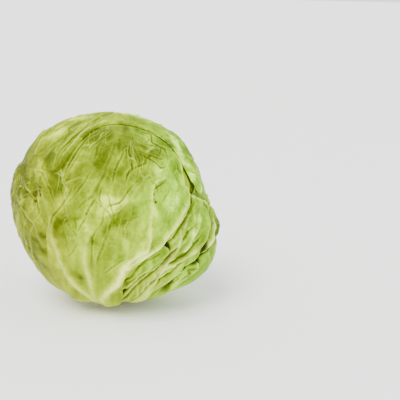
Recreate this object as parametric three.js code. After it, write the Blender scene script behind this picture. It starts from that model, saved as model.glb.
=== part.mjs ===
// A whole round green cabbage, freshly cut: a dense heart on a short cut stem, wrapped in nine outer
// leaves that shingle over each other. Millimetres, +Z up. The origin is the centre of the stem's cut
// face, on which the head stands, and the side that is seen first looks along -Y.
//
// The head is described from its middle: every surface is a distance out along a direction, and a
// direction is an azimuth (0 at the front, growing to the right) and a latitude, both in degrees.
// A leaf lies over all the leaves that come before it in LEAVES, and rises where it crosses them.
import * as THREE from "three";

// Driving dimensions of the head
const CENTRE_HEIGHT = 90; // the middle of the head over the surface it stands on
const MEAN_RADIUS = 88;
// Distance out from the middle to the finished outside, at every 15 degrees from foot to crown
const PROFILE = [91, 90.5, 88.5, 85.5, 84, 84.5, 87, 90.5, 91.5, 92.5, 91.5, 89.5, 89];

// The loose lower right side, where the outermost leaves stand away from the head
const BULGE = { azimuth: 85, latitude: -28, spread: 27, height: 25 };

// Leaf blades
const SHEET = 1.0;
const AIR = 1.3; // between two leaves that lie on each other
const DRAPE = 13; // an upper leaf comes down over a lower leaf's edge in this length
const EDGE_CLEAR = 7; // and it is fully up this far outside that edge
const HEART_SUNK = 1.6; // the heart lies this much deeper than its bed
const BEDDING = 24; // the heart gives way to the leaves over it within this far of their edges
const BEHIND_BASE = 20; // and it gives way this many degrees behind a leaf's base
const LAST_ROW = 0.985; // share of the length at which a blade ends, still with some width
const WIDEST_STEP = 9.5; // degrees between two columns of a blade's mesh
const FADE = 10; // ribs and curled edges fade out this far before a leaf goes under another
const FLOOR_CLEAR = 0.6; // the ribs under the head end this high over the surface it stands on
// Ribs have this share of their height under the head, and all of it above the second latitude
const RIB_RISE = { share: 0.2, from: -78, to: -52 };

// The stem is a cone that narrows into the head, so its sides point at the head's middle
const STEM_ANGLE = 10.6;
const STEM_HEIGHT = 26;
const STEM_SIDES = 28;
const STEM_GAP = 0.4;
const CLASP = 10; // leaves keep this far from the head's axis, and bend round the stem
const DIMPLE = { depth: 7, spread: 19 }; // the underside is drawn in round the stem

const WAX_GREEN = 0xb9c978;

// The outer leaves, from the innermost to the outermost. base and heading are [azimuth, latitude]:
// a leaf starts at its base and runs over its heading for length degrees. left and right are the
// blade's half widths in degrees at eleven even steps from base to tip, seen from outside with the
// tip up, and a greater blunt makes a squarer tip. ribs are places across the blade, from -1 to 1,
// the midrib first. rows is the number of steps along the blade in the mesh. flare is how far a free
// edge curls away from the head and wave how much its outline waves.
const LEAVES = [
  {
    name: "leaf_back",
    base: [172, -82],
    heading: [178, 40],
    length: 150,
    left: [10, 26, 40, 50, 56, 60, 60, 56, 48, 34, 14],
    right: [10, 26, 40, 50, 56, 60, 60, 56, 48, 34, 14],
    blunt: 12,
    ribs: [0, -0.62, -0.32, 0.32, 0.62],
    rows: 14,
    flare: 2.0,
    wave: 0.03,
    rib: 3.6,
    colour: 0xb6c86c,
  },
  {
    name: "leaf_left",
    base: [-84, -82],
    heading: [-86, 40],
    length: 134,
    left: [10, 20, 32, 42, 48, 52, 52, 48, 42, 30, 12],
    right: [10, 22, 36, 46, 52, 54, 54, 50, 44, 30, 12],
    blunt: 12,
    ribs: [0, -0.6, -0.3, 0.3, 0.6],
    rows: 14,
    flare: 2.0,
    wave: 0.03,
    rib: 3.2,
    colour: 0xb8c47c,
  },
  {
    name: "leaf_right_outer",
    base: [92, -82],
    heading: [102, 0],
    length: 130,
    left: [10, 22, 34, 42, 46, 46, 46, 44, 40, 30, 10],
    right: [10, 20, 30, 38, 42, 44, 42, 38, 32, 22, 8],
    blunt: 10,
    ribs: [0, -0.55, -0.28, 0.3, 0.58],
    rows: 16,
    flare: 3.6,
    wave: 0.05,
    rib: 3.2,
    colour: 0xb2cc78,
  },
  {
    name: "leaf_right_low",
    base: [30, -82],
    heading: [48, -20],
    length: 71,
    left: [8, 12, 15, 18, 20, 20, 20, 18, 16, 12, 5],
    right: [7, 6, 5, 5, 6, 6, 9, 12, 14, 12, 5],
    blunt: 10,
    ribs: [0, 0.45, -0.5],
    rows: 12,
    flare: 2.4,
    wave: 0.05,
    rib: 2.6,
    colour: 0xb4d08a,
  },
  {
    name: "leaf_right_lobe",
    base: [20, -82],
    heading: [45, 0],
    length: 104,
    left: [8, 12, 15, 18, 20, 21, 21, 20, 18, 14, 5],
    right: [6, 6, 5, 4, 4, 4, 16, 40, 44, 38, 8],
    blunt: 10,
    ribs: [0.62, 0.3, -0.5],
    rows: 17,
    flare: 5.0,
    wave: 0.05,
    rib: 3.0,
    colour: 0xa9c957,
  },
  {
    name: "leaf_right_mid",
    base: [10, -82],
    heading: [40, 0],
    length: 106,
    left: [8, 13, 17, 20, 22, 22, 22, 20, 18, 14, 6],
    right: [7, 6, 5, 4, 6, 8, 19, 29, 33, 32, 8],
    blunt: 10,
    ribs: [0.1, 0.5, -0.5],
    rows: 14,
    flare: 3.4,
    wave: 0.04,
    rib: 3.6,
    colour: 0xb4ce80,
  },
  {
    name: "leaf_front_under",
    base: [-16, -82],
    heading: [-2, -20],
    length: 86,
    left: [8, 12, 16, 20, 22, 22, 20, 17, 13, 9, 4],
    right: [8, 7, 5, 5, 9, 14, 23, 35, 39, 28, 8],
    blunt: 10,
    ribs: [0.2, 0.75, -0.5],
    rows: 12,
    flare: 2.4,
    wave: 0.01,
    rib: 3.0,
    colour: 0xbccf72,
  },
  {
    name: "leaf_front",
    base: [-12, -82],
    heading: [20, 86],
    length: 172,
    left: [10, 21, 32, 36, 37, 36, 45, 57, 60, 45, 10],
    right: [8, 9, 10, 12, 29, 45, 52, 47, 40, 26, 8],
    blunt: 14,
    ribs: [0.5, -0.76, -0.32, 0.08, 0.84],
    rows: 23,
    flare: 2.2,
    wave: 0.015,
    rib: 4.0,
    colour: 0xb4c45c,
  },
  {
    name: "leaf_over_crown",
    base: [140, -82],
    heading: [-44, 86],
    length: 230,
    left: [10, 22, 36, 44, 52, 65, 73, 59, 16, 7, 6],
    right: [10, 24, 38, 48, 56, 62, 64, 64, 60, 55, 44],
    blunt: 30,
    ribs: [0, -0.6, -0.32, 0.34, 0.64],
    rows: 28,
    flare: 1.4,
    wave: 0.015,
    rib: 3.6,
    colour: 0xc3cf96,
  },
];

const { sin, cos, abs, min, max, hypot, PI } = Math;
const radians = THREE.MathUtils.degToRad;
const smooth = THREE.MathUtils.smootherstep;

// The unit vector of an azimuth and a latitude
function direction(azimuth, latitude) {
  const a = radians(azimuth);
  const l = radians(latitude);
  return new THREE.Vector3(sin(a) * cos(l), -cos(a) * cos(l), sin(l));
}

// The latitude of a unit vector
function latitudeOf(d) {
  return THREE.MathUtils.radToDeg(Math.asin(THREE.MathUtils.clamp(d.z, -1, 1)));
}

// Moves a direction away from the stem, most near the foot of the head and not at all at the crown
function spread(d) {
  const fromStem = THREE.MathUtils.radToDeg(Math.acos(THREE.MathUtils.clamp(-d.z, -1, 1)));
  const moved = radians(hypot(fromStem, CLASP * (1 - fromStem / 180)));
  const flat = hypot(d.x, d.y) || 1;
  return new THREE.Vector3((d.x / flat) * sin(moved), (d.y / flat) * sin(moved), -cos(moved));
}

// A smooth curve through evenly spaced values
function through(values, t) {
  const last = values.length - 1;
  const i = min(last - 1, Math.floor(t * last));
  const f = t * last - i;
  const at = (n) => values[THREE.MathUtils.clamp(n, 0, last)];
  const fall = (at(i + 1) - at(i - 1)) / 2;
  const rise = (at(i + 2) - at(i)) / 2;
  const curve = f * f * (3 - 2 * f);
  const blend = at(i) * (1 - curve) + at(i + 1) * curve;
  return blend + fall * f * (1 - f) ** 2 - rise * f * f * (1 - f);
}

const bulgeDirection = direction(BULGE.azimuth, BULGE.latitude);

// Distance from the head's middle to the finished outside along a direction
function outsideRadius(d) {
  const latitude = latitudeOf(d);
  let r = through(PROFILE, (latitude + 90) / 180);
  const fromBulge = THREE.MathUtils.radToDeg(d.angleTo(bulgeDirection));
  r += BULGE.height * Math.exp(-((fromBulge / BULGE.spread) ** 2));
  const fromBase = 90 + latitude;
  r -= DIMPLE.depth * Math.exp(-((fromBase / DIMPLE.spread) ** 2));
  return r;
}

// A leaf's own directions: along its midrib from the base, and across it to the right
function leafFrame(leaf) {
  const start = direction(...leaf.base);
  const heading = direction(...leaf.heading);
  const along = heading.addScaledVector(start, -heading.dot(start)).normalize();
  const across = along.clone().cross(start).normalize();
  return { start, along, across, length: radians(leaf.length) };
}
for (const leaf of LEAVES) leaf.frame = leafFrame(leaf);

// Half width of a blade, in radians, at a share u of its length. side is -1 on the left
function halfWidth(leaf, u, side) {
  const t = THREE.MathUtils.clamp(u, 0, 1);
  const body = through(side < 0 ? leaf.left : leaf.right, t) * Math.sqrt(1 - t ** leaf.blunt);
  const waves = 1 + leaf.wave * sin(31 * t + 2 * side) * smooth(t, 0.15, 0.4);
  return radians(hypot(body * waves, 1.5));
}

// Where a direction lies in a leaf's blade: its share of the length, its place across, and how far
// inside the outline it is, in millimetres, negative outside. bedded is the same with the base
// end moved back
function placeIn(leaf, d) {
  const { start, along, across, length } = leaf.frame;
  const turned = Math.atan2(d.dot(along), d.dot(start));
  const a = turned < length / 2 - PI ? turned + 2 * PI : turned;
  const b = Math.asin(THREE.MathUtils.clamp(d.dot(across), -1, 1));
  const u = a / length;
  const side = b < 0 ? -1 : 1;
  const half = halfWidth(leaf, u, side);
  const step = 0.01;
  const slope = (halfWidth(leaf, u + step, side) - halfWidth(leaf, u - step, side)) / (2 * step * length);
  const sideways = (half - abs(b)) / hypot(1, min(abs(slope), 3));
  const lengthways = min(a, length - a);
  const inside = lengthways < 0 && sideways < 0
    ? -hypot(lengthways, sideways)
    : min(sideways, lengthways);
  const bedded = min(sideways, length - a, a + radians(BEHIND_BASE));
  return { u, v: b / half, inside: inside * MEAN_RADIUS, bedded: bedded * MEAN_RADIUS };
}

// 1 where a direction is under the blade, falling to 0 outside its edge
function cover(leaf, d, clear, fall) {
  return smooth(placeIn(leaf, d).inside, -clear - fall, -clear);
}

// Distance to the heart's surface, which lies as deep as the leaves over it are thick. d is the
// direction itself, and q is the same direction before it is moved away from the stem
function heartRadius(d, q) {
  let r = outsideRadius(d) - AIR;
  for (const leaf of LEAVES) {
    r -= (SHEET + AIR) * smooth(placeIn(leaf, q).bedded, -BEDDING, BEDDING);
  }
  return r;
}

// Height of the underside of leaf number k over the heart
function underside(k, q) {
  let h = AIR;
  for (let j = 0; j < k; j++) h += (SHEET + AIR) * cover(LEAVES[j], q, EDGE_CLEAR, DRAPE);
  return h;
}

// 1 where leaf number k lies open, and 0 where another leaf covers it
function openness(k, d) {
  let open = 1;
  for (let j = k + 1; j < LEAVES.length; j++) open *= 1 - cover(LEAVES[j], d, 0.5, FADE);
  return open;
}

// Height of the ribs on a blade's outer face: low under the head, broad beside it and finer towards
// the tip
function ribHeight(leaf, u, v, latitude) {
  let h = 0;
  leaf.ribs.forEach((place, i) => {
    const main = i === 0;
    const reach = main ? 0.09 - 0.03 * u : 0.055;
    const height = main ? leaf.rib * (1 - u) ** 0.7 : 0.55 * leaf.rib * (1 - u) ** 0.5;
    h = max(h, height * max(0, 1 - abs(v - place) / reach));
  });
  return h * (RIB_RISE.share + (1 - RIB_RISE.share) * smooth(latitude, RIB_RISE.from, RIB_RISE.to));
}

// How far a free edge stands away, in waves along the edge
function edgeLift(leaf, u, v, inside) {
  const wavy = 0.62 + 0.38 * sin(23 * u + 3 * v);
  return leaf.flare * wavy * Math.exp(-((inside / 9) ** 2)) * smooth(u, 0.12, 0.4);
}

// Places across a blade that carry its ribs, its edges and what lies between them
function columns(leaf) {
  const places = [-1, -0.93, 0.93, 1];
  leaf.ribs.forEach((place) => {
    const reach = place === leaf.ribs[0] ? 0.08 : 0.055;
    places.push(place - reach, place, place + reach);
  });
  places.sort((p, q) => p - q);
  const step = WIDEST_STEP / max(...leaf.left, ...leaf.right);
  const filled = [places[0]];
  for (const place of places.slice(1)) {
    const from = filled.at(-1);
    const parts = Math.ceil((place - from) / step);
    for (let i = 1; i <= parts; i++) filled.push(from + ((place - from) * i) / parts);
  }
  return filled;
}

// The closed solid of leaf number k: its outer face, its inner face and the edge between them
function leafGeometry(k) {
  const leaf = LEAVES[k];
  const { start, along, across, length } = leaf.frame;
  const places = columns(leaf);
  const rows = leaf.rows;
  const wide = places.length;
  const outer = [];
  const inner = [];
  for (let i = 0; i <= rows; i++) {
    const even = i / rows;
    const rounded = (1 - cos(PI * even)) / 2;
    const u = LAST_ROW * (0.75 * even + 0.25 * rounded);
    for (const v of places) {
      const a = u * length;
      const b = v * halfWidth(leaf, u, v);
      const q = start.clone().multiplyScalar(cos(a) * cos(b));
      q.addScaledVector(along, sin(a) * cos(b)).addScaledVector(across, sin(b));
      const d = spread(q);
      const { inside } = placeIn(leaf, q);
      const open = openness(k, q);
      let low = heartRadius(d, q) + underside(k, q) + edgeLift(leaf, u, v, inside) * open;
      let high = low + SHEET + ribHeight(leaf, u, v, latitudeOf(d)) * open;
      const floor = d.z < 0 ? (CENTRE_HEIGHT - FLOOR_CLEAR) / -d.z : Infinity;
      high = min(high, floor);
      low = min(low, high - SHEET);
      outer.push(d.clone().multiplyScalar(high));
      inner.push(d.clone().multiplyScalar(low));
    }
  }
  const points = [...outer, ...inner];
  const back = outer.length;
  const faces = [];
  const quad = (a, b, c, d) => faces.push(a, b, c, a, c, d);
  for (let i = 0; i < rows; i++) {
    for (let j = 0; j < wide - 1; j++) {
      const p = i * wide + j;
      quad(p, p + 1, p + wide + 1, p + wide);
      faces.push(back + p, back + p + wide + 1, back + p + 1);
      faces.push(back + p, back + p + wide, back + p + wide + 1);
    }
  }
  for (let i = 0; i < rows; i++) {
    const l = i * wide;
    const r = l + wide - 1;
    quad(l, l + wide, back + l + wide, back + l);
    quad(r, back + r, back + r + wide, r + wide);
  }
  for (let j = 0; j < wide - 1; j++) {
    const t = rows * wide + j;
    quad(j, back + j, back + j + 1, j + 1);
    quad(t, t + 1, back + t + 1, back + t);
  }
  return indexed(points, faces);
}

// A geometry from points round the head's middle
function indexed(points, faces) {
  const g = new THREE.BufferGeometry().setFromPoints(points);
  g.setIndex(faces);
  g.computeVertexNormals();
  return g;
}

// Relief of the heart's own leaves: broad folds that spiral up to the crown, each with a sharp edge
function heartRelief(azimuth, latitude) {
  const turn = (azimuth + 1.1 * latitude) / 72;
  const fold = turn - Math.floor(turn);
  return -1.6 * fold * smooth(latitude, -50, -10);
}

// The heart: a closed ball of rings with an open pocket below, where the stem goes in
function heartGeometry() {
  const around = 40;
  const rings = 22;
  const lowest = -85.5; // spread moves this ring out to just beside the stem
  const points = [new THREE.Vector3(0, 0, STEM_HEIGHT + STEM_GAP - CENTRE_HEIGHT)];
  const ring = (latitude, radius) => {
    for (let j = 0; j < around; j++) {
      const azimuth = (360 * j) / around;
      const q = direction(azimuth, latitude);
      const d = spread(q);
      points.push(d.clone().multiplyScalar(radius(d, q, azimuth)));
    }
  };
  ring(lowest, (d) => (CENTRE_HEIGHT - STEM_HEIGHT - STEM_GAP) / -d.z);
  for (let i = 0; i < rings; i++) {
    const latitude = lowest + (90 - lowest) * (i / rings) ** 1.3;
    ring(latitude, (d, q, azimuth) => heartRadius(d, q) - HEART_SUNK + heartRelief(azimuth, latitude));
  }
  const crown = direction(0, 90);
  points.push(crown.clone().multiplyScalar(heartRadius(crown, crown) - HEART_SUNK - 0.8));
  const faces = [];
  const last = points.length - 1;
  for (let j = 0; j < around; j++) {
    const next = (j + 1) % around;
    faces.push(0, 1 + next, 1 + j);
    for (let i = 0; i < rings; i++) {
      const a = 1 + i * around + j;
      const b = 1 + i * around + next;
      faces.push(a, b, b + around, a, b + around, a + around);
    }
    faces.push(last, 1 + rings * around + j, 1 + rings * around + next);
  }
  return indexed(points, faces);
}

// The cut stem: a plain disc below, whose rim is a little worn, narrowing into the heart
function stemGeometry() {
  const radiusAt = (z) => (CENTRE_HEIGHT - z) * Math.tan(radians(STEM_ANGLE));
  const rim = 1.2;
  const profile = [
    new THREE.Vector2(0, 0),
    new THREE.Vector2(radiusAt(0) - rim, 0),
    new THREE.Vector2(radiusAt(rim), rim),
    new THREE.Vector2(radiusAt(STEM_HEIGHT / 2), STEM_HEIGHT / 2),
    new THREE.Vector2(radiusAt(STEM_HEIGHT), STEM_HEIGHT),
    new THREE.Vector2(0, STEM_HEIGHT),
  ];
  return new THREE.LatheGeometry(profile, STEM_SIDES).rotateX(PI / 2);
}

function mesh(name, geometry, colour, roughness) {
  const made = new THREE.Mesh(
    geometry,
    new THREE.MeshStandardMaterial({ color: colour, roughness, metalness: 0 }),
  );
  made.name = name;
  return made;
}

const cabbage = new THREE.Group();
cabbage.add(mesh("stem", stemGeometry(), 0xd9dbb4, 0.8));

const head = new THREE.Group();
head.position.z = CENTRE_HEIGHT;
head.add(mesh("heart", heartGeometry(), WAX_GREEN, 0.5));
LEAVES.forEach((leaf, k) => head.add(mesh(leaf.name, leafGeometry(k), leaf.colour, 0.45)));
cabbage.add(head);

export default cabbage;
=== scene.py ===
"""A whole round green cabbage on a pale floor: every outer leaf is laid finely over the ones below it,
with ribs, veins, blisters, curled edges and mottled colour. It has the frame and the leaves of the CAD
model, so their named values are the same. Lengths are millimetres until a mesh is made."""
import math

import bpy
import numpy as np
from mathutils import Matrix, Vector


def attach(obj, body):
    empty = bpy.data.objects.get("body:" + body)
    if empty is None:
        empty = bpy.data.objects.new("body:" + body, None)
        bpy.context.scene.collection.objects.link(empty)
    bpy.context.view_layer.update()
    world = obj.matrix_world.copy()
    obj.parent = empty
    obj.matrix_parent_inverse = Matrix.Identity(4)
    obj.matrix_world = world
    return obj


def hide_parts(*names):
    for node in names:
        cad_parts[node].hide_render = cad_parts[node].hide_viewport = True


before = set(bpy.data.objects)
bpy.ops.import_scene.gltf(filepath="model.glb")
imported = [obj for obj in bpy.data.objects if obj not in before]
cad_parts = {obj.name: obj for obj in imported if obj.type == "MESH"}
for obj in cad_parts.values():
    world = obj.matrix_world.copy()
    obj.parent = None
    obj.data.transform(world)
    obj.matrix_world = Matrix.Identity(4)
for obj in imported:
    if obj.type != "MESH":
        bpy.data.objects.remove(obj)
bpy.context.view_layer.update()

MM = 0.001

# The head, as in the CAD model. PROFILE is its radius at even steps of latitude from the foot to the
# crown, BULGE the loose lobes, DIMPLE the hollow round the stem, CLASP how many degrees the leaves keep
# from the stem, and FLOOR_CLEAR how far they keep from the floor
CENTRE_HEIGHT = 90
MEAN_RADIUS = 88
PROFILE = [91, 90.5, 88.5, 85.5, 84, 84.5, 87, 90.5, 91.5, 92.5, 91.5, 89.5, 89]
BULGE = {"azimuth": 85, "latitude": -28, "spread": 27, "height": 25}
DIMPLE = {"depth": 7, "spread": 19}
CLASP = 10
FLOOR_CLEAR = 0.6

# How far in and out of its edge, and how many degrees behind its base, the head makes room for a leaf
BEDDING = 24
BEHIND_BASE = 20

# The stem's cone, seen from the head's middle, and its cut face from the inside out: shares of the
# radius, and heights. The rings inside the rim stay round
STEM_ANGLE = 10.6
STEM_HEIGHT = 26
STEM_FACE = [(0.25, 0.5), (0.55, 0.35), (0.8, 0.15), (0.9, 0.0), (0.96, 0.15)]
STEM_LEVELS = [1.4, 5, 10, 18, STEM_HEIGHT]
STEM_AROUND = 96
STEM_UNEVEN = 0.012
ROUND_RINGS = 3

# The heart: its points around, its rings, the lowest and the highest of them, how far it keeps from the
# leaves and from the stem, and its folds: how deep, how many degrees apart and how slanted they are
HEART = {"around": 200, "rings": 90, "lowest": -85.5, "highest": 88.5, "inset": 1.4, "pocket": 0.6}
FOLDS = {"depth": 1.6, "apart": 72, "lean": 1.1}

# The fine leaves: how thick they are and how far apart, how far outside an edge below it a leaf steps
# down and how long that takes, and how far its relief needs to fade out below another leaf
SHEET = 0.9
AIR = 0.7
EDGE_CLEAR = 1.5
DRAPE = 7
FADE = 5

# Along the edge of a leaf: how far its lift, the ditch in the leaves below it and the painted shade of the
# lee in that ditch reach, how far in the sheet is thinner and how far in a clinging edge holds on
CURL_REACH = 6
DITCH_REACH = 3
LEE_SHADE_REACH = 2.6
THINNED = 3
HELD = 7

# How far apart the fine strokes of the skin are, across a leaf
STROKE_SIZE = 9

# Lines in relief: the share that is left at a tapered end, how high a rib is whose pale colour shows in full
# and how deep a crease is whose painted shade shows in full, how many radians beyond a line its relief still
# counts, and in what steps a vein grows
TAPERED = 0.4
BOLD_RIB = 2.2
BOLD_CREASE = 1.4
LINE_REACH = 0.12
VEIN_STEP = 0.03

# The outer leaves, from the innermost to the outermost, as in the CAD model. A leaf runs from its base
# towards its heading over its length in degrees, and left and right are its half widths along that.
# Other pairs are for its left and its right half. blunt: how square the tip is. flare: how far the edges
# stand away. ditch: how deep the leaves below are pressed in along them. wave: the waves of the outline.
# fan: how many degrees apart the side veins start, or 0 for none. grain: how strong the fine relief is.
# grid: the size of the mesh's squares. margin: how much painted highlight the edges get. torn: how uneven
# they are.
# bedding: its own BEDDING. clings: the edges lie flat. calm_foot: the painted shade in creases is fainter
# low down. What a leaf doesn't say is as in USUAL
USUAL = {"blunt": 10, "wave": 0.05, "fan": 8, "grain": 1.6, "margin": (0.3, 0.7), "torn": 0.01}
LEAVES = [
    {
        "name": "leaf_back", "base": (172, -82), "heading": (178, 40), "length": 150,
        "left": [10, 26, 40, 50, 56, 60, 60, 56, 48, 34, 14],
        "right": [10, 26, 40, 50, 56, 60, 60, 56, 48, 34, 14],
        "blunt": 12, "flare": (2.0, 2.0), "ditch": (1, 1), "wave": 0.03, "fan": 11,
        "grain": 0.7, "grid": 1.5, "margin": (0.2, 0.2),
    },
    {
        "name": "leaf_left", "base": (-84, -82), "heading": (-86, 40), "length": 134,
        "left": [10, 20, 32, 42, 48, 52, 52, 48, 42, 30, 12],
        "right": [10, 22, 36, 46, 52, 54, 54, 50, 44, 30, 12],
        "blunt": 12, "flare": (1.2, 1.0), "ditch": (0.8, 1.2), "wave": 0.03, "fan": 10,
        "grain": 0.8, "grid": 1.1, "margin": (0.2, 0.2),
    },
    {
        "name": "leaf_right_outer", "base": (92, -82), "heading": (102, 0), "length": 130,
        "left": [10, 22, 34, 42, 46, 46, 46, 44, 40, 30, 10],
        "right": [10, 20, 30, 38, 42, 44, 42, 38, 32, 22, 8],
        "flare": (3.2, 3.0), "ditch": (2, 2), "grain": 1.3, "grid": 1.2, "margin": (0.3, 0.3), "torn": 0.02,
    },
    {
        "name": "leaf_right_low", "base": (30, -82), "heading": (48, -20), "length": 71,
        "left": [8, 12, 15, 18, 20, 20, 20, 18, 16, 12, 5],
        "right": [7, 6, 5, 5, 6, 6, 9, 12, 14, 12, 5],
        "flare": (2.0, 3.4), "ditch": (1, 3.0), "grid": 0.75, "torn": 0.12,
    },
    {
        "name": "leaf_right_lobe", "base": (20, -82), "heading": (45, 0), "length": 104,
        "left": [8, 12, 15, 18, 20, 21, 21, 20, 18, 14, 5],
        "right": [6, 6, 5, 4, 4, 4, 16, 40, 44, 38, 8],
        "flare": (2.0, 4.5), "ditch": (1, 2.6), "grid": 0.85, "torn": 0.05,
    },
    {
        "name": "leaf_right_mid", "base": (10, -82), "heading": (40, 0), "length": 106,
        "left": [8, 13, 17, 20, 22, 22, 22, 20, 18, 14, 6],
        "right": [7, 6, 5, 4, 6, 8, 19, 29, 33, 32, 8],
        "flare": (1.5, 3.8), "ditch": (1, 2.8), "wave": 0.04, "grid": 0.75, "torn": 0.05,
    },
    {
        "name": "leaf_front_under", "base": (-16, -82), "heading": (-2, -20), "length": 86,
        "left": [8, 12, 16, 20, 22, 22, 20, 17, 13, 9, 4],
        "right": [8, 7, 5, 5, 9, 14, 23, 35, 39, 28, 8],
        "flare": (1.0, 3.2), "ditch": (0.5, 3), "wave": 0.01, "fan": 9,
        "grain": 1.0, "grid": 0.8, "margin": (0.2, 0.6), "torn": 0.02,
    },
    {
        "name": "leaf_front", "base": (-12, -82), "heading": (20, 86), "length": 172,
        "left": [10, 21, 32, 36, 37, 36, 45, 57, 60, 45, 10],
        "right": [8, 9, 10, 12, 29, 45, 52, 47, 40, 26, 8],
        "blunt": 14, "flare": (0.6, 2.6), "ditch": (1.2, 2.6), "wave": 0.015, "fan": 0,
        "grain": 0.5, "grid": 0.8, "margin": (0, 0.7), "calm_foot": True,
    },
    {
        "name": "leaf_over_crown", "base": (140, -82), "heading": (-44, 86), "length": 230,
        "left": [10, 22, 36, 44, 52, 65, 73, 59, 16, 7, 6],
        "right": [10, 24, 38, 48, 56, 62, 64, 64, 60, 55, 44],
        "blunt": 30, "flare": (0.1, 0.1), "ditch": (0.4, 0.1), "wave": 0.015, "fan": 12,
        "grain": 0.6, "bedding": 7, "grid": 1.1, "margin": (0, 0), "clings": True,
    },
]
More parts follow.
